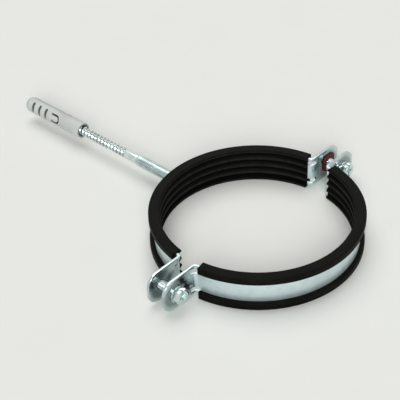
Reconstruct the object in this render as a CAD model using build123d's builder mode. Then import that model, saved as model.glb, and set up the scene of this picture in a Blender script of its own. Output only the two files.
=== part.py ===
"""Two-piece rubber lined pipe clamp with a welded connection nut, a hanger bolt and a wall plug.

Millimetres. The origin is the centre of the pipe bore at half the lining's width. +Z runs along the
pipe, so the clamp lies on the edge of its lining. The hanger bolt leaves the saddle along -X, and the
cap is the half on the +X side. The two clamp screws run along X, one at -Y (near) and one at +Y (far).
"""

import os
from math import acos, cos, degrees, radians, sin, sqrt

from build123d import *

# ---- Driving dimensions -------------------------------------------------------------------------

# Pipe bore and rubber lining
bore_radius = 63.1  # over the tips of the inner ribs
lining_width = 25.2
lining_wall = 0.8  # rubber left under the rib grooves
rib_count = 5
rib_pitch = 5.7
rib_height = 1.6
rib_tip_width = 1.1
rib_base_width = 4.0
lip_height = 5.2  # how far a lip folds over the band's outer face, from the lining's edge
lip_thickness = 2.9
lip_bevel = 0.8
lining_fit = 0.05  # between rubber and steel
saddle_lining_stop = 82.5  # degrees from the saddle's middle to each end of its lining
cap_lining_stop = 81.2  # degrees from the cap's middle to each end of its lining

# Steel bands and their ears
band_width = 22.6
band_thickness = 1.75
ear_gap = 10.6  # between the facing ears as delivered
ear_reach = 94.9  # from the bore's axis to the ear's tip
ear_corner = 8.3
bend_radius = 1.5  # inside radius of the bend between band and ear

# Pressed gusset in each bend, sheared free of the sheet by a window on each side
gusset_width = 11.2
gusset_radius = 3.1
window_width = 3.1
window_reach = 0.9  # how far a window runs on past the gusset's ends

# Clamp screws, retaining washer and their holes
screw_offset = 84.0  # from the bore's axis to each clamp screw's axis
screw_diameter = 5.9
screw_length = 19.0  # under the head
screw_point = 0.9  # length of the bevelled point
flange_diameter = 11.4
flange_thickness = 1.2
head_across_flats = 10.0
head_height = 4.2  # above the flange
head_bevel = 0.7
recess_depth = 1.9
slot_width = 1.4
cross_width = 2.0
cross_length = 6.4
thread_fit = 0.05  # radial, between a screw thread and its tapped hole
head_seat_gap = 0.05
clearance_hole = 6.6  # hole in the cap's ears
collar_diameter = 8.6  # drawn collar behind the saddle's ears
collar_height = 1.8
collar_entry = 0.5
washer_width = 11.6  # along the ear
washer_height = 12.6
washer_corner = 3.0
washer_thickness = 1.0
washer_bore_fit = 0.05

# Connection nut
nut_across_flats = 13.0
nut_height = 6.5
nut_bevel = 0.8
weld_gap = 0.02  # between the nut's curved foot and the band

# Hanger bolt
bolt_diameter = 8.0
bolt_end_gap = 0.4  # between the bolt's end and the band
machine_thread_end = 109.1  # from the bore's axis to where the machine thread stops
shank_end = 119.8  # from the bore's axis to where the wood thread starts
shank_diameter = 6.7
wood_thread_diameter = 7.0
wood_thread_end = 187.4  # from the bore's axis to the point
bolt_point_length = 7.0
bolt_point_diameter = 0.8
bolt_bevel = 0.9

# Wall plug
plug_grip = 21.2  # how far the wood thread stands in the plug as delivered
plug_length = 60.0
plug_diameter = 12.0  # over the plain barrel behind the mouth
barrel_length = 19.0
spread_relief = 0.1  # the spreading part is this much slimmer than the barrel, all round
plug_nose_length = 5.0
nose_face = 4.0  # diameter of the flat on the tip
nose_steps = ((0.5, 7.0), (1.9, 10.0))  # from the tip and diameter, where the nose's slope changes
plug_mouth_bevel = 0.5
plug_bore = 8.4  # at the mouth
plug_bore_gap = 1.8  # from the screw's point to the end of the wide bore
plug_pilot = 4.4  # the narrow bore that the screw spreads
plug_taper_length = 7.0
plug_nose_wall = 5.5  # solid nylon at the tip
split_width = 0.6
split_start = 8.0  # from the tip to the start of the long split
split_length = 38.6
split_angle = 75.0  # degrees from +Y towards +Z
face_angle = 158.0  # degrees from +Y towards +Z, the side with the barb slots and the tongue
barb_slot_count = 3
barb_slot_start = 10.0  # from the tip to the middle of the first barb slot
barb_slot_pitch = 7.0
barb_slot_length = 8.2
barb_slot_width = 2.0
barb_slot_depth = 4.4
tongue_start = 30.2  # from the tip to the root of the tongue
tongue_length = 9.1
tongue_width = 6.6
tongue_slit = 1.2
tongue_hole = 1.7
tongue_hole_drop = 1.9  # below the middle line of the tongue

# ---- Sizes that follow --------------------------------------------------------------------------

groove_radius = bore_radius + rib_height
lining_outer = groove_radius + lining_wall
band_inner = lining_outer + lining_fit
band_outer = band_inner + band_thickness
lip_inner = band_outer + lining_fit
lip_outer = lip_inner + lip_thickness
edge_inner = band_width / 2 + lining_fit  # where the lining's side wall starts
ear_front = ear_gap / 2
ear_back = ear_front + band_thickness
screw_radius = screw_diameter / 2
tapped_radius = screw_radius + thread_fit
bolt_radius = bolt_diameter / 2
plug_radius = plug_diameter / 2
plug_mouth = wood_thread_end - plug_grip
plug_tip = plug_mouth + plug_length

os.makedirs("parts", exist_ok=True)


def finish(builder, name):
    """Label one piece and write it to its own file."""
    builder.part.label = name
    export_step(builder.part, f"parts/{name}.step")


# ---- Steel bands --------------------------------------------------------------------------------


def sheet(bend, width, reach):
    """The bent strip of one half on the +X side: ear, bend, half ring, bend, ear."""
    stop = degrees(acos(ear_front / band_inner))
    corner = sqrt(band_inner**2 - ear_front**2)
    with BuildPart() as strip:
        with BuildSketch():
            with BuildLine():
                Line((ear_front, -reach), (ear_front, -corner))
                CenterArc((0, 0), band_inner, -stop, 2 * stop)
                Line((ear_front, corner), (ear_front, reach))
                bends = vertices().filter_by(lambda v: abs(v.Y) < reach - band_thickness)
                fillet(bends, bend + band_thickness)
                offset(amount=band_thickness, side=Side.RIGHT)
            make_face()
        extrude(amount=width / 2, both=True)
    return strip.part


def half_band(hole_diameter):
    """One half on the +X side: bent strip, rounded ears, gusset and windows in each bend, screw holes."""
    window_edge = gusset_width / 2 + window_width
    window_back = ear_back + gusset_radius + window_reach
    window_near = band_inner - band_thickness
    window_far = band_outer + gusset_radius + window_reach
    with BuildPart() as half:
        add(sheet(bend_radius, band_width, ear_reach))
        ear_edges = half.edges().filter_by(Axis.X).filter_by(lambda e: abs(e.center().Y) > screw_offset)
        fillet(ear_edges, ear_corner)
        with Locations(*((window_back / 2, y * (window_near + window_far) / 2, 0) for y in (-1, 1))):
            Box(window_back, window_far - window_near, 2 * window_edge, mode=Mode.SUBTRACT)
        add(sheet(gusset_radius, gusset_width, screw_offset))
        with BuildSketch(Plane.YZ.offset(ear_front)):
            with Locations((-screw_offset, 0), (screw_offset, 0)):
                Circle(hole_diameter / 2)
        extrude(amount=band_thickness, mode=Mode.SUBTRACT)
    return half.part


with BuildPart() as cap_band:
    add(half_band(clearance_hole))
finish(cap_band, "cap_band")

with BuildPart() as saddle_band:
    add(half_band(2 * tapped_radius).mirror(Plane.YZ))
    # drawn and tapped collars behind the ears, with a rounded entry in front
    with BuildSketch(Plane.YZ.offset(-ear_back)):
        with Locations((-screw_offset, 0), (screw_offset, 0)):
            Circle(collar_diameter / 2)
            Circle(tapped_radius, mode=Mode.SUBTRACT)
    extrude(amount=-collar_height)
    entries = saddle_band.edges().filter_by(GeomType.CIRCLE).group_by(Axis.X)[-1]
    chamfer(entries.filter_by(lambda e: abs(e.radius - tapped_radius) < thread_fit), collar_entry)
finish(saddle_band, "saddle_band")

# ---- Rubber linings -----------------------------------------------------------------------------


def lining(middle, stop):
    """A ribbed rubber channel round one half's band, reaching stop degrees to each side of middle."""
    start = radians(middle - stop)
    outwards = (cos(start), sin(start), 0)
    with BuildPart() as channel:
        with BuildSketch(Plane(origin=(0, 0, 0), x_dir=outwards, z_dir=(sin(start), -cos(start), 0))):
            with Locations((groove_radius, 0)):
                Rectangle(lip_outer - groove_radius, lining_width, align=(Align.MIN, Align.CENTER))
            with Locations((lining_outer, 0)):
                slot = (Align.MIN, Align.CENTER)
                Rectangle(lip_inner - lining_outer, 2 * edge_inner, align=slot, mode=Mode.SUBTRACT)
                mouth = lining_width - 2 * lip_height
                Rectangle(lip_outer - lining_outer, mouth, align=slot, mode=Mode.SUBTRACT)
            lips = vertices().filter_by(lambda v: sqrt(v.X**2 + v.Y**2) > lip_outer - lining_fit)
            chamfer(lips.filter_by(lambda v: abs(v.Z) > edge_inner), lip_bevel)
            foot, tip = rib_base_width / 2, rib_tip_width / 2
            crest = -rib_height
            for rib in range(rib_count):
                with Locations((groove_radius, (rib - (rib_count - 1) / 2) * rib_pitch)):
                    Polygon((0, -foot), (0, foot), (crest, tip), (crest, -tip), align=None)
            with Locations((bore_radius, 0)):
                Rectangle(lip_outer - bore_radius, lining_width, align=slot, mode=Mode.INTERSECT)
        revolve(axis=Axis.Z, revolution_arc=2 * stop)
    return channel.part


with BuildPart() as saddle_lining:
    add(lining(180, saddle_lining_stop))
finish(saddle_lining, "saddle_lining")

with BuildPart() as cap_lining:
    add(lining(0, cap_lining_stop))
finish(cap_lining, "cap_lining")

# ---- Connection nut, welded to the middle of the saddle -----------------------------------------

with BuildPart() as connection_nut:
    nut_face = band_outer + nut_height
    with BuildSketch(Plane.YZ.offset(-nut_face)):
        RegularPolygon(nut_across_flats / 2, 6, major_radius=False, rotation=0)
        Circle(bolt_radius + thread_fit, mode=Mode.SUBTRACT)
    extrude(amount=nut_height + band_thickness)
    # outer corners bevelled by a cone
    with BuildSketch(Plane.XY) as bevel:
        corner_radius = nut_across_flats / sqrt(3)
        with BuildLine():
            Polyline((-nut_face, corner_radius + nut_bevel), (-nut_face, corner_radius - nut_bevel),
                     (-nut_face + nut_bevel, corner_radius + nut_bevel), close=True)
        make_face()
    revolve(axis=Axis.X, mode=Mode.SUBTRACT)
    # foot shaped to the band
    Cylinder(band_outer + weld_gap, band_width, mode=Mode.SUBTRACT)
finish(connection_nut, "connection_nut")

# ---- Hanger bolt --------------------------------------------------------------------------------

with BuildPart() as hanger_bolt:
    with BuildSketch(Plane.XY):
        with BuildLine():
            bolt_start = band_outer + bolt_end_gap
            Polyline(
                (-bolt_start, 0),
                (-bolt_start, bolt_radius - bolt_bevel),
                (-bolt_start - bolt_bevel, bolt_radius),
                (-machine_thread_end + bolt_bevel, bolt_radius),
                (-machine_thread_end, shank_diameter / 2),
                (-shank_end, shank_diameter / 2),
                (-shank_end - bolt_bevel / 2, wood_thread_diameter / 2),
                (-wood_thread_end + bolt_point_length, wood_thread_diameter / 2),
                (-wood_thread_end, bolt_point_diameter / 2),
                (-wood_thread_end, 0),
                close=True,
            )
        make_face()
    revolve(axis=Axis.X)
finish(hanger_bolt, "hanger_bolt")

# ---- Clamp screws -------------------------------------------------------------------------------


def clamp_screw(y):
    """One clamp screw: flanged hexagon head with a slot and cross recess, and a bevelled point."""
    seat = ear_back + head_seat_gap
    top = seat + flange_thickness + head_height
    corner = head_across_flats / sqrt(3)
    with BuildPart() as screw:
        with BuildSketch(Plane.YZ.offset(seat)):
            with Locations((y, 0)):
                Circle(flange_diameter / 2)
        extrude(amount=flange_thickness)
        with BuildSketch(Plane.YZ.offset(seat + flange_thickness)):
            with Locations((y, 0)):
                RegularPolygon(head_across_flats / 2, 6, major_radius=False)
        extrude(amount=head_height)
        # corners bevelled by a cone
        with BuildSketch(Plane.XY):
            with BuildLine():
                Polyline((top, y + corner + head_bevel), (top, y + corner - head_bevel),
                         (top - head_bevel, y + corner + head_bevel), close=True)
            make_face()
        revolve(axis=Axis((0, y, 0), (1, 0, 0)), mode=Mode.SUBTRACT)
        with BuildSketch(Plane.YZ.offset(top)):
            with Locations((y, 0)):
                Rectangle(cross_length, cross_width)
                Rectangle(slot_width, flange_diameter)
        extrude(amount=-recess_depth, mode=Mode.SUBTRACT)
        with BuildSketch(Plane.YZ.offset(seat)):
            with Locations((y, 0)):
                Circle(screw_radius)
        extrude(amount=-screw_length)
        chamfer(screw.faces().sort_by(Axis.X)[0].edges(), screw_point)
    return screw.part


with BuildPart() as near_clamp_screw:
    add(clamp_screw(-screw_offset))
finish(near_clamp_screw, "near_clamp_screw")

with BuildPart() as far_clamp_screw:
    add(clamp_screw(screw_offset))
finish(far_clamp_screw, "far_clamp_screw")

with BuildPart() as retaining_washer:
    with BuildSketch(Plane.YZ.offset(-ear_front)):
        with Locations((screw_offset, 0)):
            RectangleRounded(washer_width, washer_height, washer_corner)
            Circle(screw_radius + washer_bore_fit, mode=Mode.SUBTRACT)
    extrude(amount=washer_thickness)
finish(retaining_washer, "retaining_washer")

# ---- Wall plug ----------------------------------------------------------------------------------


def plug_plane(angle):
    """A plane on the plug's axis that faces angle degrees from +Y towards +Z; its x runs from the tip."""
    facing = (0, cos(radians(angle)), sin(radians(angle)))
    return Plane(origin=(-plug_tip, 0, 0), x_dir=(1, 0, 0), z_dir=facing)


with BuildPart() as wall_plug:
    spread_radius = plug_radius - spread_relief
    barrel_end = plug_mouth + barrel_length
    bore_end = wood_thread_end + plug_bore_gap
    with BuildSketch(Plane.XY):
        with BuildLine():
            Polyline(
                (-plug_tip, 0),
                (-plug_tip, nose_face / 2),
                *((step - plug_tip, diameter / 2) for step, diameter in nose_steps),
                (plug_nose_length - plug_tip, spread_radius),
                (-barrel_end - spread_relief, spread_radius),
                (-barrel_end, plug_radius),
                (-plug_mouth - plug_mouth_bevel, plug_radius),
                (-plug_mouth, plug_radius - plug_mouth_bevel),
                (-plug_mouth, plug_bore / 2),
                (-bore_end, plug_bore / 2),
                (-bore_end - plug_taper_length, plug_pilot / 2),
                (plug_nose_wall - plug_tip, plug_pilot / 2),
                (plug_nose_wall - plug_tip, 0),
                close=True,
            )
        make_face()
    revolve(axis=Axis.X)
    # long split that lets the plug spread
    with BuildSketch(plug_plane(split_angle)):
        with Locations((split_start, 0)):
            Rectangle(split_length, split_width, align=(Align.MIN, Align.CENTER))
    extrude(amount=plug_radius, mode=Mode.SUBTRACT)
    # barb slots across the face
    with BuildSketch(plug_plane(face_angle).offset(plug_radius)):
        for slot in range(barb_slot_count):
            with Locations((barb_slot_start + slot * barb_slot_pitch, 0)):
                Rectangle(barb_slot_width, barb_slot_length)
    extrude(amount=-barb_slot_depth, mode=Mode.SUBTRACT)
    # spring tongue cut free on three sides, with a small hole at its root
    with BuildSketch(plug_plane(face_angle).offset(plug_radius)):
        with Locations((tongue_start, 0)):
            outer = tongue_width / 2
            Rectangle(tongue_length - outer, tongue_width, align=(Align.MIN, Align.CENTER))
        with Locations((tongue_start + tongue_length - outer, 0)):
            Circle(outer)
            Circle(outer - tongue_slit, mode=Mode.SUBTRACT)
        with Locations((tongue_start, 0)):
            Rectangle(tongue_length - outer, tongue_width - 2 * tongue_slit,
                      align=(Align.MIN, Align.CENTER), mode=Mode.SUBTRACT)
        with Locations((tongue_start + tongue_hole, -tongue_hole_drop)):
            Circle(tongue_hole / 2)
    extrude(amount=-plug_radius, mode=Mode.SUBTRACT)
finish(wall_plug, "wall_plug")
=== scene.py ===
# %% [markdown]
# # A rubber lined pipe clamp, dressed in its real surfaces
# The clamp is already built to size as a frame of plain solids: two steel half bands, two rubber
# linings, two clamp screws, a washer, a nut, a hanger bolt and a wall plug. This lesson gives each of
# them the surface and the fine shape of the real thing, and leaves every piece where the frame has it.
# The pipe's axis is Z, the bolt runs along -X and the ears point along Y. Sizes are written in
# millimetres, as on a workshop drawing, and MM turns them into the metres of the frame.

# %% Load the frame and keep its box
from contextlib import contextmanager
from math import cos, pi, radians, sin

import bmesh
import bpy
from mathutils import Matrix, Vector


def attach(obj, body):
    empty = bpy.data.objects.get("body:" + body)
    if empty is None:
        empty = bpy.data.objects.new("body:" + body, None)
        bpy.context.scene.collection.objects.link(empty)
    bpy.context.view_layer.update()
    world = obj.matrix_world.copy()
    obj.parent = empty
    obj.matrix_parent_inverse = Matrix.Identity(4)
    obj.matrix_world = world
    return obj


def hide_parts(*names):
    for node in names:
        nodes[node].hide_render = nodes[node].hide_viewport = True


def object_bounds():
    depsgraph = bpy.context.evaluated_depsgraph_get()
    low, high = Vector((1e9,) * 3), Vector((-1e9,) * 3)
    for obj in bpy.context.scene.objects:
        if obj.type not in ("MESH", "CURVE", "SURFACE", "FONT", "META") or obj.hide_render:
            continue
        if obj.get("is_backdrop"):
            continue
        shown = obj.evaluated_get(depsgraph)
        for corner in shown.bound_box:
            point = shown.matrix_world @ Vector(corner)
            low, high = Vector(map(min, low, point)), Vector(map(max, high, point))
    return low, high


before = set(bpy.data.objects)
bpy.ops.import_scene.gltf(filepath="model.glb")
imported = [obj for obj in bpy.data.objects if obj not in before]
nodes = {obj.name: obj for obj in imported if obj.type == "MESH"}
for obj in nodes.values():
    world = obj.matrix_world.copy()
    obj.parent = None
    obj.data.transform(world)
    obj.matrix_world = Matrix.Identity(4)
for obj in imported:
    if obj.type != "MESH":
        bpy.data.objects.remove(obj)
cad_bounds = [list(corner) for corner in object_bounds()]
MM = 0.001
print("nodes", sorted(nodes))
print("box", [round(side / MM, 2) for corner in cad_bounds for side in corner], "mm")

# %% [markdown]
# ## Node trees written as sums
# Materials and Geometry Nodes are both trees of small steps. Wiring each step by hand hides the
# formula, so one class stands for "the value on this socket" and turns `a * 0.5 + b` into Math nodes.

# %% One class for values in a tree
class Value:
    """The value on one socket of a node tree; arithmetic on it adds Math nodes."""

    def __init__(self, tree, socket):
        self.tree = tree
        self.socket = socket

    def math(self, operation, *others):
        values = dict(enumerate((self, *others)))
        return add_node(self.tree, "ShaderNodeMath", {"operation": operation}, values)

    def __add__(self, other):
        return self.math("ADD", other)

    def __sub__(self, other):
        return self.math("SUBTRACT", other)

    def __mul__(self, other):
        return self.math("MULTIPLY", other)

    def __truediv__(self, other):
        return self.math("DIVIDE", other)

    def __rsub__(self, other):
        return self * -1 + other

    def __rtruediv__(self, other):
        return self.math("POWER", -1) * other

    __radd__ = __add__
    __rmul__ = __mul__

    def band(self, low, high, to_low=0.0, to_high=1.0):
        """Smoothly from to_low below low to to_high above high."""
        values = {"Value": self, "From Min": low, "From Max": high, "To Min": to_low, "To Max": to_high}
        return add_node(self.tree, "ShaderNodeMapRange", {"interpolation_type": "SMOOTHSTEP"}, values)


print(Value.__name__, "stands for one socket of a tree")


# %% Every other node
def set_stops(node, stops):
    """Give a colour ramp its stops, which are (position, (r, g, b)) pairs."""
    elements = node.color_ramp.elements
    while len(elements) < len(stops):
        elements.new(0.5)
    for element, (position, rgb) in zip(elements, stops):
        element.position = position
        element.color = (*rgb, 1)


def add_node(tree, kind, settings=None, values=None, output=0):
    """Add one node: its settings first, then each input's value or link. Returns one of its outputs."""
    node = tree.nodes.new(kind)
    for name, setting in (settings or {}).items():
        if name == "stops":
            set_stops(node, setting)
        else:
            setattr(node, name, setting)
    for key, value in (values or {}).items():
        socket = node.inputs[key]
        if isinstance(value, Value):
            tree.links.new(value.socket, socket)
        else:
            socket.default_value = value
    if node.outputs:
        return Value(tree, node.outputs[output])


print("nodes come from", add_node.__name__)


# %% Short names for the nodes that come up often
def split(tree, vector):
    """The x, y and z of a vector as three values."""
    node = add_node(tree, "ShaderNodeSeparateXYZ", values={0: vector}).socket.node
    return [Value(tree, node.outputs[i]) for i in range(3)]


def join(tree, x, y, z):
    return add_node(tree, "ShaderNodeCombineXYZ", values={0: x, 1: y, 2: z})


def distance(a, b):
    """How far a point is from an axis, from its two distances across the axis."""
    return (a * a + b * b).math("SQRT")


def ramp(tree, value, stops):
    return add_node(tree, "ShaderNodeValToRGB", {"stops": stops}, {0: value})


def noise(tree, vector, scale, detail, roughness=0.5):
    values = {"Vector": vector, "Scale": scale, "Detail": detail, "Roughness": roughness}
    return add_node(tree, "ShaderNodeTexNoise", values=values)


print("short names", [maker.__name__ for maker in (split, join, distance, ramp, noise)])

# %% [markdown]
# ## The finishes
# Four finishes cover the whole clamp: zinc plating, black extruded rubber, dark red fibre and light
# grey nylon. Each is a function that starts a material and shapes its colour, roughness and bump from
# the object's own coordinates, in metres, so a scratch of 0.2 mm has its true size.

# %% A start for every material
def start_material(name, **constants):
    """A material with a Principled shader. constants are set on the shader's own sockets."""
    material = bpy.data.materials.new(name)
    material.use_nodes = True
    tree = material.node_tree
    shader = tree.nodes["Principled BSDF"]
    for socket, value in constants.items():
        shader.inputs[socket.replace("_", " ")].default_value = value
    place = add_node(tree, "ShaderNodeTexCoord", output=3)
    return material, tree, shader, place


def feed(tree, shader, socket, value):
    tree.links.new(value.socket, shader.inputs[socket])


def bump(tree, shader, height, depth):
    """Relief on the surface; depth is in mm."""
    values = {"Height": height, "Distance": depth * MM, "Strength": 1.0}
    feed(tree, shader, "Normal", add_node(tree, "ShaderNodeBump", values=values))


print("material helpers", [maker.__name__ for maker in (start_material, feed, bump)])

# %% [markdown]
# ### Zinc plating
# Zinc on rolled steel is a cool, slightly blue silver. It is a metal, so its colour is the colour of
# its reflections. An image of worn metal could be wrapped round each piece, but it would stretch over
# the bends, so noise in true size does it here: wide patches where the plating is thicker, and a fine
# grain that breaks up the reflection. Three platings differ a little. Small parts are bright. The
# strip of the bands is satin in its ring and burnished in its pressed ears. The ears are painted darker
# in streaks, as a painted dark reflection, and a dark ring round each screw's head is painted shade.
# The roots of the bolt's threads are painted dark, as painted shade.

# %% Zinc plated steel
SCREW_OFFSET = 84.0  # from the pipe's axis to each clamp screw


def zinc_plating(name, rough, base, pressed_ears=False, painted_valley_shade=False):
    """Zinc on steel; pressed_ears is for the strip of the bands and valleys for the hanger bolt."""
    material, tree, shader, place = start_material(name, Metallic=1.0, Specular_IOR_Level=0.5)
    patches = noise(tree, place, 55.0, 3.0, 0.55)
    cloud = noise(tree, place, 190.0, 4.0, 0.6)
    speckle = noise(tree, place, 2600.0, 2.0, 0.6)
    tone = patches * 0.6 + cloud * 0.4
    roughness = cloud.band(0.3, 0.7, *rough) + speckle * 0.05
    if pressed_ears:
        x, y, z = split(tree, place)
        ear = y.math("ABSOLUTE").band(65.5 * MM, 71.0 * MM)
        # The ears are painted darker in streaks, as a painted dark reflection.
        streaks = noise(tree, join(tree, x * 60.0, y * 45.0, z * 150.0), 1.0, 2.0, 0.5)
        # A ring round each screw's head is painted darker: painted shade from the head, not wear.
        from_screw = distance(y.math("ABSOLUTE") - SCREW_OFFSET * MM, z)
        painted_head_shade = from_screw.band(6.5 * MM, 11.8 * MM, 0.32, 0.0)
        tone = tone * 0.5 + 0.25 - ear * (streaks.band(0.3, 0.7, 0.05, 0.17) + painted_head_shade)
        roughness = roughness - ear * 0.17
        feed(tree, shader, "Metallic", ear * 0.4 + 0.6)
    if painted_valley_shade:
        # The roots of the thread are painted darker: painted shade in the thread's recesses.
        x, y, z = split(tree, place)
        crest = x.band(-108.9 * MM, -108.8 * MM, 3.5 * MM, 4.0 * MM)  # from wood to machine thread
        tone = tone - (crest - distance(y, z)).band(0.25 * MM, 0.8 * MM) * 0.3
    shades = {0.16: 0.42, 0.36: 0.80, 0.52: 1.0, 0.72: 1.15}
    stops = [(tone_at, tuple(min(1.0, share * part) for part in base))
             for tone_at, share in shades.items()]
    feed(tree, shader, "Base Color", ramp(tree, tone, stops))
    feed(tree, shader, "Roughness", roughness)
    bump(tree, shader, cloud * 0.6 + speckle * 0.12, 0.04)
    return material


zinc = zinc_plating("bright_zinc", (0.12, 0.24), (0.71, 0.80, 0.80))
bolt_zinc = zinc_plating("bolt_zinc", (0.10, 0.20), (0.70, 0.80, 0.80), painted_valley_shade=True)
strip_zinc = zinc_plating("strip_zinc", (0.3, 0.4), (0.63, 0.75, 0.76), pressed_ears=True)
print("plating", [(m.name, len(m.node_tree.nodes)) for m in (zinc, bolt_zinc, strip_zinc)])

# %% [markdown]
# ### Extruded rubber
# The lining is drawn through a die, so faint lines run along its length, round the pipe. Its black is
# a warm dark grey where light grazes it. The tips of the ribs get a painted highlight, a little paler,
# and the hollows between them get painted shade, deep black. That could be painted on an image, but
# tips and hollows differ in their distance from the pipe's axis, so the radius alone tells the material
# which it is on.

# %% Black rubber
RIB_TIP = 63.1  # radius over the tips of the ribs, where the pipe lies
GROOVE = 64.7  # radius of the grooves between the ribs
BAND_SEAT = 65.5  # radius of the rubber that the steel lies on


def black_rubber():
    material, tree, shader, place = start_material("black_rubber", Specular_IOR_Level=0.05)
    x, y, z = split(tree, place)
    radius = distance(x, y)
    lines = noise(tree, join(tree, radius * 2400.0, z * 2400.0, x * 8.0), 1.0, 2.0, 0.5)
    mottle = noise(tree, place, 420.0, 4.0, 0.6)
    dust = noise(tree, place, 60.0, 3.0, 0.6)
    tone = lines * 0.35 + mottle * 0.35 + dust * 0.3
    inner = z.math("ABSOLUTE").band(11.3 * MM, 11.8 * MM, 1.0, 0.0)
    # The tips of the ribs are painted paler: a painted highlight.
    crest = radius.band((RIB_TIP + 0.1) * MM, (RIB_TIP + 0.4) * MM, 1.0, 0.0)
    # The hollows between the ribs are painted darker: painted shade.
    painted_groove_shade = radius.band((GROOVE - 0.9) * MM, (GROOVE - 0.3) * MM)
    painted_groove_shade = painted_groove_shade * radius.band(BAND_SEAT * MM, (BAND_SEAT + 0.7) * MM, 1.0, 0.0)
    tone = tone + inner * (crest * 0.22 - painted_groove_shade * 0.34)
    stops = [(0.14, (0.0004, 0.0004, 0.0003)), (0.3, (0.0015, 0.0015, 0.0012)),
             (0.5, (0.0032, 0.0032, 0.0026)), (0.66, (0.0080, 0.0077, 0.0066)),
             (0.86, (0.0240, 0.0235, 0.0205))]
    feed(tree, shader, "Base Color", ramp(tree, tone, stops))
    feed(tree, shader, "Roughness", mottle.band(0.3, 0.7, 0.48, 0.62))
    bump(tree, shader, lines * 0.6 + mottle * 0.5, 0.05)
    return material


rubber = black_rubber()
print(rubber.name, len(rubber.node_tree.nodes), "nodes")

# %% [markdown]
# ### Fibre and nylon
# The washer is stamped from pressed fibre, so its strands lie in the plane of the sheet and show as
# fine streaks: noise, stretched along one way. The plug is moulded nylon with a smooth skin. Below
# that skin, inside the slots and the bore, little light gets in, and that shade is painted on as a dark
# colour. A second material would need those faces picked out, so a step in the distance from the plug's
# axis paints them dark instead.

# %% Red fibre
def red_fibre():
    material, tree, shader, place = start_material("red_fibre", Specular_IOR_Level=0.3)
    x, y, z = split(tree, place)
    strands = noise(tree, join(tree, x * 900.0, y * 900.0, z * 260.0), 1.0, 4.0, 0.6)
    stops = [(0.3, (0.055, 0.008, 0.010)), (0.55, (0.11, 0.016, 0.019)), (0.75, (0.17, 0.035, 0.035))]
    feed(tree, shader, "Base Color", ramp(tree, strands, stops))
    feed(tree, shader, "Roughness", strands.band(0.3, 0.7, 0.5, 0.75))
    bump(tree, shader, strands, 0.06)
    return material


fibre = red_fibre()
print(fibre.name, len(fibre.node_tree.nodes), "nodes")


# %% Grey nylon
def grey_nylon():
    material, tree, shader, place = start_material("grey_nylon", Specular_IOR_Level=0.4)
    haze = noise(tree, place, 90.0, 3.0, 0.5)
    grain = noise(tree, place, 1500.0, 3.0, 0.6)
    stops = [(0.3, (0.455, 0.485, 0.468)), (0.52, (0.51, 0.54, 0.518)), (0.75, (0.57, 0.595, 0.572))]
    skin = ramp(tree, haze * 0.7 + grain * 0.3, stops)
    _, y, z = split(tree, place)
    # Deep inside the bore and the slots the colour is painted dark: painted shade.
    clear_of_painted_shade = distance(y, z).band(4.6 * MM, 5.88 * MM)
    mixed = {0: clear_of_painted_shade, 6: (0.15, 0.155, 0.155, 1), 7: skin}
    feed(tree, shader, "Base Color", add_node(tree, "ShaderNodeMix", {"data_type": "RGBA"}, mixed, 2))
    feed(tree, shader, "Roughness", grain.band(0.3, 0.7, 0.38, 0.52))
    bump(tree, shader, grain, 0.03)
    return material


nylon = grey_nylon()
print(nylon.name, len(nylon.node_tree.nodes), "nodes")

# %% [markdown]
# ## From a tree or a modifier to a plain piece
# Whatever makes a shape here, the piece that moves with the clamp is a plain mesh: its modifiers are
# applied, coincident points are merged, its faces look outwards, and only true corners stay sharp.
# Such a piece then rides on a body of the frame, and stands for the node that it replaces.

# %% Helpers for makers
ONE_POINT = 0.002 * MM  # points closer than this are one point


@contextmanager
def worked(mesh):
    """A mesh opened for work on its points, edges and faces, and written back afterwards."""
    work = bmesh.new()
    work.from_mesh(mesh)
    yield work
    work.to_mesh(mesh)
    work.free()


def link(name, data):
    """A new object for a mesh, lamp or camera, in the scene."""
    thing = bpy.data.objects.new(name, data)
    bpy.context.collection.objects.link(thing)
    return thing


def mesh_object(name, vertices, edges=(), faces=()):
    mesh = bpy.data.meshes.new(name)
    mesh.from_pydata(vertices, edges, faces)
    return link(name, mesh)


def plain_mesh(maker):
    """The mesh that a maker's modifiers give; the maker itself is removed."""
    graph = bpy.context.evaluated_depsgraph_get()
    mesh = bpy.data.meshes.new_from_object(maker.evaluated_get(graph), depsgraph=graph)
    bpy.data.objects.remove(maker)
    return mesh


def join_makers(makers, name):
    """One plain object from several."""
    joined = bpy.data.meshes.new(name)
    with worked(joined) as work:
        for maker in makers:
            mesh = plain_mesh(maker)
            work.from_mesh(mesh)
            bpy.data.meshes.remove(mesh)
    return link(name, joined)


print("maker helpers", [maker.__name__ for maker in (link, mesh_object, plain_mesh, join_makers)])


# %% Settle a finished piece
def settle(maker, name, body, material, stands_for=(), sharp=35.0, turn_out=True, merge=ONE_POINT):
    """Turn an object with its modifiers into a plain piece on a body."""
    mesh = plain_mesh(maker)
    mesh.name = name
    with worked(mesh) as work:
        if merge:
            bmesh.ops.remove_doubles(work, verts=work.verts, dist=merge)
            bmesh.ops.dissolve_degenerate(work, edges=work.edges, dist=merge / 2)
        if turn_out:
            bmesh.ops.recalc_face_normals(work, faces=work.faces)
        open_edges = sum(not edge.is_manifold for edge in work.edges)
    mesh.materials.clear()
    mesh.materials.append(material)
    mesh.polygons.foreach_set("material_index", [0] * len(mesh.polygons))
    mesh.polygons.foreach_set("use_smooth", [True] * len(mesh.polygons))
    mesh.set_sharp_from_angle(angle=radians(sharp))
    piece = link(name, mesh)
    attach(piece, body)
    if stands_for:
        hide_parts(*stands_for)
    print(name, len(mesh.polygons), "faces,", open_edges, "open edges")
    return piece


# %% [markdown]
# ## Trees that make a shape
# Each tree here starts with named inputs for its sizes and ends in the same two nodes: Realize
# Instances makes real points of whatever it placed, and Set Material dresses them. Two functions do
# that for every tree, and a third puts a tree on an object and sets its inputs.

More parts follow.
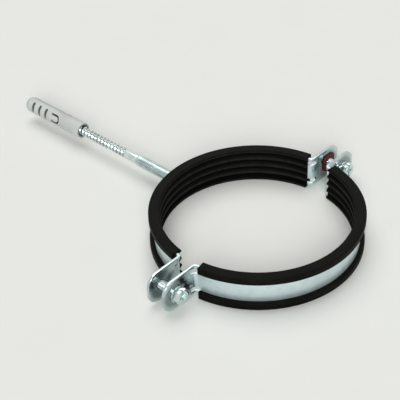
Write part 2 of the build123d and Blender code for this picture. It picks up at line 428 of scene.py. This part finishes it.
# %% Start, end and use a shape's tree
def start_tree(name, sizes, counts):
    """A Geometry Nodes tree with named inputs, and the value on each of them."""
    tree = bpy.data.node_groups.new(name, "GeometryNodeTree")
    panel = tree.interface
    panel.new_socket("Geometry", in_out="INPUT", socket_type="NodeSocketGeometry")
    for kind, defaults in (("NodeSocketFloat", sizes), ("NodeSocketInt", counts)):
        for label, value in defaults.items():
            panel.new_socket(label, in_out="INPUT", socket_type=kind).default_value = value
    panel.new_socket("Material", in_out="INPUT", socket_type="NodeSocketMaterial")
    panel.new_socket("Geometry", in_out="OUTPUT", socket_type="NodeSocketGeometry")
    inputs = add_node(tree, "NodeGroupInput").socket.node
    return tree, {socket.name: Value(tree, socket) for socket in inputs.outputs}


def end_tree(tree, geometry, material):
    real = add_node(tree, "GeometryNodeRealizeInstances", values={"Geometry": geometry})
    done = add_node(tree, "GeometryNodeSetMaterial", values={"Geometry": real, "Material": material})
    add_node(tree, "NodeGroupOutput", values={"Geometry": done})
    print(tree.name, "tree,", len(tree.nodes), "nodes")
    return tree


def grow(tree, maker, **inputs):
    """Put a tree on an object, or on a new one of that name; inputs are set by socket identifier."""
    if isinstance(maker, str):
        maker = mesh_object(maker, [(0, 0, 0)])
    modifier = maker.modifiers.new(tree.name, "NODES")
    modifier.node_group = tree
    given = [item for item in tree.interface.items_tree if item.in_out == "INPUT"]
    sockets = {item.name: item.identifier for item in given}
    for key, value in inputs.items():
        modifier[sockets[key.replace("_", " ").title()]] = value
    return maker


print("tree helpers", [maker.__name__ for maker in (start_tree, end_tree, grow)])

# %% [markdown]
# ## One tree for every thread
# The clamp has three threads: a fine one on the hanger bolt, a coarse wood thread at its far end, and
# the clamp screws' own. A thread could be a swept triangle cut from a rod, but cutting is slow and
# leaves slivers. This tree bends a flat grid into a tube instead, with its rows leaning by one pitch
# for each turn, so that every crest is a clean line of points. Two rows more shut the ends.

# %% The thread tree
def thread_tree():
    """A thread along -X from Start X. Foot Share is the part of a pitch that the ridge stands on."""
    sizes = {"Crest Radius": 4.0 * MM, "Root Radius": 3.3 * MM, "Pitch": 1.25 * MM, "Length": 30.0 * MM,
             "Foot Share": 1.0, "Crest Flat": 1.2, "Run Out": 1.0 * MM, "Point Length": 0.9 * MM,
             "Point Share": 0.8, "Start X": 0.0, "Axis Y": 0.0}
    tree, given = start_tree("thread", sizes, {"Rows Per Turn": 8, "Sides": 28})
    pitch, length = given["Pitch"], given["Length"]
    # a grid one unit wide and high: across counts the rows and around is one turn
    rows = ((length / pitch).math("CEIL") + 1) * given["Rows Per Turn"] + 3
    grid_values = {"Size X": 1.0, "Size Y": 1.0, "Vertices X": rows, "Vertices Y": given["Sides"] + 1}
    grid = add_node(tree, "GeometryNodeMeshGrid", values=grid_values)
    across, around, _ = split(tree, add_node(tree, "GeometryNodeInputPosition"))
    row = ((across + 0.5) * (rows - 1)).math("ROUND")
    turn = around + 0.5
    # each row leans by one pitch for each turn
    raw = ((row - 1) / given["Rows Per Turn"] + turn - 1) * pitch
    along = raw.math("MAXIMUM", 0.0).math("MINIMUM", length)
    left = length - along
    # the ridge rises from the root, is cut flat at the crest and runs out at both ends
    phase = (along / pitch - turn + 0.0001).math("FRACT")
    ridge = 1 - (phase * 2 - 1).math("ABSOLUTE") / given["Foot Share"]
    ridge = (ridge * given["Crest Flat"]).math("MAXIMUM", 0.0).math("MINIMUM", 1.0)
    run_out = (along / given["Run Out"]).math("MINIMUM", left / given["Run Out"]).math("MINIMUM", 1.0)
    radius = given["Root Radius"] + (given["Crest Radius"] - given["Root Radius"]) * ridge * run_out
    # the far end narrows to its point, and the first and last rows close on the axis
    point = given["Point Share"] + (1 - given["Point Share"]) * left / given["Point Length"]
    shut = row.math("GREATER_THAN", 0.5) * row.math("LESS_THAN", rows - 1.5)
    radius = radius * point.math("MINIMUM", 1.0) * shut
    angle = turn * (2 * pi)
    spot = join(tree, given["Start X"] - along, given["Axis Y"] + radius * angle.math("COSINE"),
                radius * angle.math("SINE") * -1)
    placed = add_node(tree, "GeometryNodeSetPosition", values={"Geometry": grid, "Position": spot})
    merge_values = {"Geometry": placed, "Distance": ONE_POINT}
    merged = add_node(tree, "GeometryNodeMergeByDistance", values=merge_values)
    return end_tree(tree, merged, given["Material"])


threads = thread_tree()

# %% [markdown]
# ## The hanger bolt
# A hanger bolt is a rod with a machine thread rolled on one half, for the nut, and a coarse wood
# thread on the other, for the plug. Between them is a short plain shank. Rolling squeezes metal up
# from the rod, so the shank is a little thinner than the crests. A bump in the material could hint at
# the threads, but they show in the bolt's outline, so two threads from the tree and a turned shank
# take the place of the frame's plain rod.

# %% A turned piece
def turned(name, profile, sides=48):
    """A closed turned piece round the X axis; profile is (x, radius) pairs in mm."""
    ring = [2 * pi * i / sides for i in range(sides)]
    vertices = [(x * MM, radius * MM * cos(a), radius * MM * sin(a))
                for x, radius in profile for a in ring]
    faces = []
    for start in range(0, len(vertices) - sides, sides):
        for i in range(sides):
            j = (i + 1) % sides
            faces.append((start + i, start + j, start + sides + j, start + sides + i))
    faces.append(tuple(range(sides)))
    faces.append(tuple(range(len(vertices) - sides, len(vertices))))
    return mesh_object(name, vertices, (), faces)


shank = turned("shank", [(-108.6, 3.35), (-109.3, 3.35), (-119.6, 3.35), (-121.0, 2.9)])
print("shank", len(shank.data.vertices), "points")

# %% Hanger bolt
machine_thread = grow(threads, "machine_thread", crest_radius=4.0 * MM, root_radius=3.22 * MM,
                      pitch=1.25 * MM, length=41.4 * MM, foot_share=0.95, crest_flat=1.25,
                      run_out=1.6 * MM, point_length=0.5 * MM, point_share=0.9, start_x=-67.7 * MM,
                      rows_per_turn=8, sides=32, material=bolt_zinc)
wood_thread = grow(threads, "wood_thread", crest_radius=3.5 * MM, root_radius=2.5 * MM,
                   pitch=3.4 * MM, length=67.9 * MM, foot_share=0.62, crest_flat=1.15,
                   run_out=2.4 * MM, point_length=9.0 * MM, point_share=0.12, start_x=-119.5 * MM,
                   rows_per_turn=12, sides=32, material=bolt_zinc)
bolt_parts = join_makers([machine_thread, shank, wood_thread], "bolt_parts")
settle(bolt_parts, "threaded_hanger_bolt", "bolt", bolt_zinc, ["hanger_bolt"])

# %% [markdown]
# ## Clamp screws
# Each clamp screw has a hexagon head with a flange under it and a recess that takes a flat or a
# cross blade. The head could be drawn again, but the frame's own has all of that, so a copy of it
# gets eased edges. Its plain shank is cut away just under the head, and a thread from the tree takes
# its place.

# %% Copies of the frame's solids
def merged_copy(node):
    """A copy of a frame node with its loose triangles merged into whole faces."""
    mesh = nodes[node].data.copy()
    with worked(mesh) as work:
        bmesh.ops.remove_doubles(work, verts=work.verts, dist=ONE_POINT)
        bmesh.ops.dissolve_limit(work, angle_limit=radians(0.5), verts=work.verts, edges=work.edges)
    return link(node + "_copy", mesh)


def ease_edges(maker, width, angle=30.0):
    """Round the corners of a maker that are sharper than angle; width is in mm."""
    bevel = maker.modifiers.new("eased_edges", "BEVEL")
    bevel.width = width * MM
    bevel.segments = 2
    bevel.limit_method = "ANGLE"
    bevel.angle_limit = radians(angle)
    return maker


print("copies are merged within", round(ONE_POINT / MM, 4), "mm")


# %% Clamp screws
def clamp_screw(node, body, axis_y):
    """A threaded screw in place of a node; axis_y is in mm."""
    under_head = 7.1 * MM
    head = merged_copy(node)
    with worked(head.data) as work:
        bmesh.ops.bisect_plane(work, geom=[*work.verts, *work.edges, *work.faces], clear_inner=True,
                               plane_co=(under_head - 0.4 * MM, 0, 0), plane_no=(1, 0, 0))
        bmesh.ops.holes_fill(work, edges=[edge for edge in work.edges if edge.is_boundary])
    ease_edges(head, 0.22)
    thread = grow(threads, "clamp_thread", crest_radius=2.95 * MM, root_radius=2.38 * MM,
                  pitch=1.0 * MM, length=19.0 * MM, foot_share=0.95, crest_flat=1.2,
                  run_out=1.0 * MM, point_length=0.9 * MM, point_share=0.72, start_x=under_head,
                  axis_y=axis_y * MM, rows_per_turn=8, sides=28, material=zinc)
    parts = join_makers([head, thread], node + "_parts")
    settle(parts, node + "_threaded", body, zinc, [node])


clamp_screw("near_clamp_screw", "near_screw", -SCREW_OFFSET)
clamp_screw("far_clamp_screw", "far_screw", SCREW_OFFSET)

# %% [markdown]
# ## The rubber linings
# Each lining is one length of extruded rubber, pushed over a half band: five ribs inside, and a lip
# that folds round each edge of the steel. An extrusion is a profile that follows a path, which is
# just what a Geometry Nodes sweep does, so the profile is drawn once, with every corner rounded as
# rubber from a die is, and swept round both halves.

# %% The lining's profile
BAND_OUTSIDE = 67.35  # radius of the steel's outer face, under the lips
LINING_OUTSIDE = 70.25  # radius over the lips
HALF_WIDTH = 12.6  # from the middle of the clamp to the lining's edge


def rounded(corners, steps=4):
    """Round each corner of a closed outline; corners are (x, y, radius)."""
    outline = []
    for i, (x, y, radius) in enumerate(corners):
        here = Vector((x, y))
        before = Vector(corners[i - 1][:2])
        after = Vector(corners[(i + 1) % len(corners)][:2])
        back_way, on_way = (before - here).normalized(), (after - here).normalized()
        half = back_way.angle(on_way) / 2
        reach = radius * cos(half) / sin(half)
        start, stop = here + back_way * reach, here + on_way * reach
        for step in range(steps + 1):
            t = step / steps
            outline.append((start * (1 - t) ** 2 + here * 2 * t * (1 - t) + stop * t ** 2).to_tuple())
    return outline


def lining_outline(lip_edge=7.4, slot_side=11.35, rib_pitch=5.7, rib_foot=2.0, half_tip=0.55):
    """(radius, z) corners of the rubber channel, in mm, from one lip round the ribs to the other."""
    lip = [(BAND_OUTSIDE, lip_edge, 0.25), (LINING_OUTSIDE, lip_edge, 0.9),
           (LINING_OUTSIDE, HALF_WIDTH, 1.0), (RIB_TIP + 0.7, HALF_WIDTH, 0.5)]
    ribs = []
    for rib in (2, 1, 0, -1, -2):
        middle = rib * rib_pitch
        foot = min(rib_foot, HALF_WIDTH - abs(middle))
        ribs += [(GROOVE, middle + foot, 0.3), (RIB_TIP, middle + half_tip, 0.25),
                 (RIB_TIP, middle - half_tip, 0.25), (GROOVE, middle - foot, 0.3)]
    other_lip = [(radius, -z, corner) for radius, z, corner in reversed(lip)]
    slot = [(BAND_OUTSIDE, -slot_side, 0.15), (BAND_SEAT, -slot_side, 0.15),
            (BAND_SEAT, slot_side, 0.15), (BAND_OUTSIDE, slot_side, 0.15)]
    # the outermost ribs stand on the lining's edges, so their outer feet are left out
    return rounded(lip + ribs[1:-1] + other_lip + slot)


outline = lining_outline()
print("lining outline", len(outline), "points")


# %% The sweep tree
def sweep_tree():
    sizes = {"Path Radius": BAND_SEAT * MM, "Start Angle": 0.0, "Sweep Angle": pi}
    tree, given = start_tree("lining_sweep", sizes, {"Path Points": 120})
    profile = add_node(tree, "GeometryNodeMeshToCurve", values={"Mesh": given["Geometry"]})
    arc_values = {"Resolution": given["Path Points"], "Radius": given["Path Radius"],
                  "Start Angle": given["Start Angle"], "Sweep Angle": given["Sweep Angle"]}
    path = add_node(tree, "GeometryNodeCurveArc", {"mode": "RADIUS"}, arc_values)
    sweep_values = {"Curve": path, "Profile Curve": profile, "Fill Caps": True}
    swept = add_node(tree, "GeometryNodeCurveToMesh", values=sweep_values)
    return end_tree(tree, swept, given["Material"])


sweeps = sweep_tree()

# %% [markdown]
# ### The cut ends
# The lining is cut to length with a knife, and handling rounds the outer corners of each end by about
# a millimetre. A Bevel modifier shrinks its bevel to fit the short edges of the rounded profile, so
# the ends are cut into thin slices here, and each slice's points are moved in to a quarter circle.

# %% Worn ends
def worn_ends(maker, middle, stop, wear=1.0):
    """Round the outer corners of both cut ends, stop degrees to each side of middle; wear is in mm."""
    piece = join_makers([maker], maker.name + "_cut")
    with worked(piece.data) as work:
        bmesh.ops.remove_doubles(work, verts=work.verts, dist=ONE_POINT)
        for side in (-1, 1):
            end = radians(middle + side * stop)
            outwards = Vector((cos(end), sin(end), 0))
            inwards = Vector((sin(end), -cos(end), 0)) * side
            for share in (0.03, 0.1, 0.3, 0.6, 1.0):
                bmesh.ops.bisect_plane(work, geom=[*work.verts, *work.edges, *work.faces],
                                       plane_co=inwards * share * wear * MM, plane_no=inwards)
            for vert in work.verts:
                depth = vert.co.dot(inwards) / MM
                if depth < wear and vert.co.dot(outwards) > 0:
                    drop = wear - max(0.0, wear ** 2 - (wear - depth) ** 2) ** 0.5
                    past = vert.co.xy.length / MM - (LINING_OUTSIDE - drop)
                    vert.co -= outwards * max(0.0, past) * MM
                    limit = (HALF_WIDTH - drop) * MM
                    vert.co.z = min(limit, max(-limit, vert.co.z))
    print(piece.name, len(piece.data.vertices), "points")
    return piece


# %% Sweep the linings
def swept_lining(node, body, middle, stop):
    """One half's lining, from stop degrees before middle to stop degrees past it."""
    points = [((radius - BAND_SEAT) * MM, z * MM, 0) for radius, z in outline]
    edges = [(i, (i + 1) % len(points)) for i in range(len(points))]
    profile = mesh_object(node + "_profile", points, edges)
    maker = grow(sweeps, profile, path_radius=BAND_SEAT * MM, path_points=140,
                 start_angle=radians(middle - stop), sweep_angle=radians(2 * stop), material=rubber)
    worn = worn_ends(maker, middle, stop)
    return settle(worn, node + "_extrusion", body, rubber, [node], sharp=50.0)


for lining in (swept_lining("saddle_lining", "saddle", 180.0, 82.5),
               swept_lining("cap_lining", "cap", 0.0, 81.2)):
    spots = [vert.co for vert in lining.data.vertices]
    box = [round(side(spot[i] for spot in spots) / MM, 2) for side in (min, max) for i in range(3)]
    print(lining.name, "box", box, "mm")

# %% [markdown]
# ## Steel bands, nut and washer
# The bands are bent from plated strip. They could be bent again here, but the frame's solids already
# have their bends, gussets and holes. What those lack is a real sheet's edge: shearing and plating
# leave it softly rounded, and it catches the light as a bright line. So a copy of each node gets a
# narrow bevel on its corners and stands for the node. The nut and the fibre washer have the same kind
# of edge, and one loop eases all four.

# %% Eased copies
for node, body, material, slot, width in (
        ("saddle_band", "saddle", strip_zinc, "zinc_steel", 0.28),
        ("cap_band", "cap", strip_zinc, "zinc_steel", 0.28),
        ("connection_nut", "saddle", zinc, "zinc_steel", 0.25),
        ("retaining_washer", "saddle", fibre, "red_fibre", 0.2)):
    eased = ease_edges(merged_copy(node), width)
    settle(eased, node + "_eased", body, material, [node], turn_out=False)

# %% [markdown]
# ## The weld round the nut
# The nut is held to the band by a fillet of weld round its foot. A swept fillet would be too smooth,
# because weld metal freezes in small ripples as the arc moves on. So a ring of round beads, each a
# little different, follows the nut's hexagon where it meets the curved band. A tree places one bead
# on each point of that path.

# %% The bead tree
def bead_tree():
    tree, given = start_tree("weld_beads", {"Bead Radius": 0.7 * MM, "Spread": 0.25}, {})
    ball_values = {"Radius": given["Bead Radius"], "Subdivisions": 2}
    ball = add_node(tree, "GeometryNodeMeshIcoSphere", values=ball_values)
    size_values = {2: 1 - given["Spread"], 3: 1 + given["Spread"] * 0.2, "Seed": 4}
    size = add_node(tree, "FunctionNodeRandomValue", {"data_type": "FLOAT"}, size_values, output=1)
    bead_values = {"Points": given["Geometry"], "Instance": ball, "Scale": size}
    placed = add_node(tree, "GeometryNodeInstanceOnPoints", values=bead_values)
    return end_tree(tree, placed, given["Material"])


def weld_path(flats=12.6, bead=0.55):
    """Points round the nut's foot, on the band, one bead apart; flats and bead are in mm."""
    reach = flats / 3 ** 0.5
    corners = [Vector((reach * cos(pi * i / 3), reach * sin(pi * i / 3))) for i in range(6)]
    spots = []
    for start, stop in zip(corners, corners[1:] + corners[:1]):
        count = round((stop - start).length / bead)
        spots += [start.lerp(stop, i / count) for i in range(count)]
    return [(-(BAND_OUTSIDE ** 2 - p.x ** 2) ** 0.5 * MM, p.x * MM, p.y * MM) for p in spots]


weld_line = mesh_object("weld_path", weld_path())
print("weld path", len(weld_line.data.vertices), "beads")

# %% Weld beads
beads = grow(bead_tree(), weld_line, bead_radius=0.95 * MM, spread=0.22, material=zinc)
settle(beads, "nut_weld", "saddle", zinc, sharp=60.0)

# %% [markdown]
# ## The wall plug
# The plug is moulded nylon: a plain barrel behind its mouth, a front part that spreads, a long split,
# three barb slots with rounded ends across one side, and a spring tongue cut free round a U. A tube
# could be drilled out of a rod, but one outline that runs up the outside and back along the bore
# gives the rounded front, the step and the bore in a single closed piece, which is then easy to cut.

# %% The plug's turned body
PLUG_TIP = 226.2  # from the pipe's axis to the front of the plug
# each pair is the distance from the plug's front and the radius
plug_outline = [(0.0, 2.0), (0.18, 2.9), (0.7, 3.8), (1.6, 4.75), (2.7, 5.4), (3.8, 5.78), (5.0, 5.9),
                (12.0, 5.9), (20.0, 5.9), (30.0, 5.9), (40.9, 5.9), (41.1, 6.0), (50.0, 6.0),
                (59.5, 6.0), (59.85, 5.85), (60.0, 5.5), (60.0, 4.3), (59.9, 4.2), (50.0, 4.2),
                (37.0, 4.2), (30.0, 2.2), (20.0, 2.2), (5.5, 2.2)]
plug_body = turned("plug_body", [(u - PLUG_TIP, radius) for u, radius in plug_outline], sides=72)
print("plug body", len(plug_body.data.polygons), "faces")

# %% [markdown]
# ### What is cut from the plug
# In the mould each slot is left open by a flat blade of steel. The same blades do the cutting here:
# an outline drawn on the side of the plug, u along it and v across it, and pushed down to a depth.
# The split lets the front spread, the barb slots let its skin bite, and the U frees the tongue.

# %% The split
CLEAR = 7.0  # past the plug's skin, so that a cut goes right through it
SPLIT_SIDE, SLOT_SIDE = 75.0, 158.0  # degrees from +Y towards +Z that each cut faces


def plug_blade(name, outline, angle, low, high=CLEAR):
    """A closed prism over an outline on the plug's side, from low to high off its axis; mm."""
    cosine, sine = cos(radians(angle)), sin(radians(angle))
    points = [((u - PLUG_TIP) * MM, (v * sine + w * cosine) * MM, (-v * cosine + w * sine) * MM)
              for w in (low, high) for u, v in outline]
    count = len(outline)
    sides = [(i, (i + 1) % count, count + (i + 1) % count, count + i) for i in range(count)]
    ends = [tuple(range(count)), tuple(range(2 * count - 1, count - 1, -1))]
    return mesh_object(name, points, (), sides + ends)


split_start, split_end, half_slit = 8.0, 46.6, 0.3
split_outline = [(split_start, -half_slit), (split_end, -half_slit), (split_end, half_slit),
                 (split_start, half_slit)]
blades = [plug_blade("split", split_outline, SPLIT_SIDE, 0.0)]
print(blades[0].name, len(blades[0].data.vertices), "points")


# %% Barb slots
def arc_points(u, v, radius, start, stop, steps=8):
    """Points on an arc from start to stop degrees round (u, v)."""
    angles = [radians(start + (stop - start) * i / steps) for i in range(steps + 1)]
    return [(u + radius * cos(a), v + radius * sin(a)) for a in angles]


half_straight, end_radius, slot_floor = 2.8, 1.3, 1.6
for barb, u in enumerate((10.0, 17.0, 24.0)):
    slot_outline = arc_points(u, half_straight, end_radius, 0, 180)
    slot_outline += arc_points(u, -half_straight, end_radius, 180, 360)
    blades.append(plug_blade(f"barb_{barb}", slot_outline, SLOT_SIDE, slot_floor))
    print(blades[-1].name, len(slot_outline), "points round it")

# %% Spring tongue
root, bend = 30.2, 35.9  # the open end of the U and the middle of its bend
outer, inner = 3.4, 1.9  # the radii on each side of the U's slit
hook = [(root, -outer), *arc_points(bend, 0, outer, -90, 90, 14), (root, outer), (root, inner)]
hook += arc_points(bend, 0, inner, 90, -90, 14)
hook += arc_points(31.9, -inner, 0.8, -14.5, 194.5)  # a round notch in the tongue's side, near its root
hook.append((root, -inner))
tongue_floor = 0.3
blades.append(plug_blade("tongue", hook, SLOT_SIDE, tongue_floor))
print(blades[-1].name, len(hook), "points round it")


# %% Carve the plug
def carved(body, cutters, larger=1000):
    """The body with each cutter taken out in turn, worked a thousand times larger for precision."""
    for maker in (body, *cutters):
        with worked(maker.data) as work:
            bmesh.ops.recalc_face_normals(work, faces=work.faces)
            bmesh.ops.scale(work, vec=(larger, larger, larger), verts=work.verts)
    for cutter in cutters:
        carve = body.modifiers.new("carve", "BOOLEAN")
        carve.object = cutter
        carve.operation = "DIFFERENCE"
        carve.solver = "EXACT"
    maker = join_makers([body], body.name + "_carved")
    for cutter in cutters:
        bpy.data.objects.remove(cutter)
    maker.data.transform(Matrix.Scale(1 / larger, 4))
    print(maker.name, len(maker.data.polygons), "faces")
    return maker


plug = ease_edges(carved(plug_body, blades), 0.09, angle=38.0)
settle(plug, "moulded_wall_plug", "plug", nylon, ["wall_plug"], merge=0)

# %% [markdown]
# ## The sheet that the clamp lies on
# A studio sheet is often bent up behind the object, but from the other side that bend would be a
# wall. So this is a flat sheet of pale paper, wide enough that its far edge is never seen, and with
# no gloss, so that it looks the same from every side. It is stage, not part of the object.

# %% Floor
floor_z = cad_bounds[0][2]
reach = 8.0  # metres from the middle to each edge
corners = [(x * reach, y * reach, floor_z) for x, y in ((-1, -1), (1, -1), (1, 1), (-1, 1))]
floor = mesh_object("floor", corners, (), [(0, 1, 2, 3)])
paper, tree, shader, place = start_material("paper", Roughness=0.9, Specular_IOR_Level=0.0)
fleck = noise(tree, place, 30.0, 2.0)
shades = [(0.3, (0.785, 0.79, 0.755)), (0.7, (0.795, 0.80, 0.765))]
feed(tree, shader, "Base Color", ramp(tree, fleck, shades))
floor.data.materials.append(paper)
floor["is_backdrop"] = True
print("floor at", round(floor_z / MM, 3), "mm")

# %% [markdown]
# ## Light
# A studio would hang two large soft boxes, one above the clamp and one in front. Near lamps leave
# the middle of a wide sheet brighter than its edges, so here both are far lamps that look wide from
# the clamp: each casts the soft shadow of a soft box and lights the whole sheet evenly. The world
# adds a dim pale sky, and shows the sheet's own colour to the camera and to reflections, so that the
# sheet has no visible end.

# %% Lamps
def wide_lamp(name, direction, strength, spread):
    """A far lamp, spread degrees across as the clamp sees it, so that the sheet is lit evenly."""
    data = bpy.data.lights.new(name, "SUN")
    data.energy = strength
    data.angle = radians(spread)
    lamp = link(name, data)
    lamp.rotation_euler = Vector(direction).to_track_quat("Z", "Y").to_euler()
    print(name, "lamp", strength, "strong,", spread, "degrees across")


wide_lamp("overhead", (-7.2, 4.0, 20.8), 1.43, 54.0)
wide_lamp("front", (12.8, -14.0, 11.2), 2.10, 31.0)

# %% Sky and backdrop
world = bpy.data.worlds.new("room")
bpy.context.scene.world = world
world.use_nodes = True
tree = world.node_tree
sky = tree.nodes["Background"]
sky.inputs["Color"].default_value = (0.98, 0.99, 1.0, 1)
sky.inputs["Strength"].default_value = 0.25
backdrop_values = {"Color": (0.79, 0.795, 0.76, 1), "Strength": 1.0}
backdrop = add_node(tree, "ShaderNodeBackground", values=backdrop_values)
camera_ray, glossy_ray, clear_ray = (
    add_node(tree, "ShaderNodeLightPath", output=f"Is {kind} Ray")
    for kind in ("Camera", "Glossy", "Transmission"))
seen = camera_ray.math("MAXIMUM", glossy_ray).math("MAXIMUM", clear_ray)
room_values = {0: seen, 1: Value(tree, sky.outputs["Background"]), 2: backdrop}
room = add_node(tree, "ShaderNodeMixShader", values=room_values)
tree.links.new(room.socket, tree.nodes["World Output"].inputs["Surface"])
print(world.name, len(tree.nodes), "nodes")

# %% [markdown]
# ## Camera
# The camera looks down on the clamp from the front and the right. It could follow an empty with a
# Track To constraint, but it never moves, so its place and its three axes are worked out from two
# angles, a small roll and the distance to the point that it looks at.

# %% Camera
elevation, azimuth, roll = radians(37.515), radians(43.485), radians(-2.0)
camera_distance = 0.7170
target = Vector((-0.04481, -0.00573, -0.0008))
back = Vector((cos(elevation) * sin(azimuth), -cos(elevation) * cos(azimuth), sin(elevation)))
right = Vector((0, 0, 1)).cross(back).normalized()
up = back.cross(right)
rolled_right = right * cos(roll) + up * sin(roll)
rolled_up = up * cos(roll) - right * sin(roll)
axes = Matrix((rolled_right, rolled_up, back)).transposed().to_4x4()
camera = link("camera", bpy.data.cameras.new("camera"))
camera.data.angle = radians(21.216)
camera.data.clip_start = 0.01
camera.matrix_world = Matrix.Translation(target + back * camera_distance) @ axes
bpy.context.scene.camera = camera
bpy.context.scene.view_settings.view_transform = "Standard"
print("camera at", [round(side, 4) for side in camera.matrix_world.translation])

# %% [markdown]
# ## The two boxes
# The dressed clamp should fill the box of its plain solids and not stick out of it. Both boxes are
# printed.

# %% Print both boxes and finish
visual_bounds = [list(corner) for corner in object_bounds()]
for name, bounds in (("solids", cad_bounds), ("dressed", visual_bounds)):
    print(name, [round(side / MM, 2) for corner in bounds for side in corner], "mm")
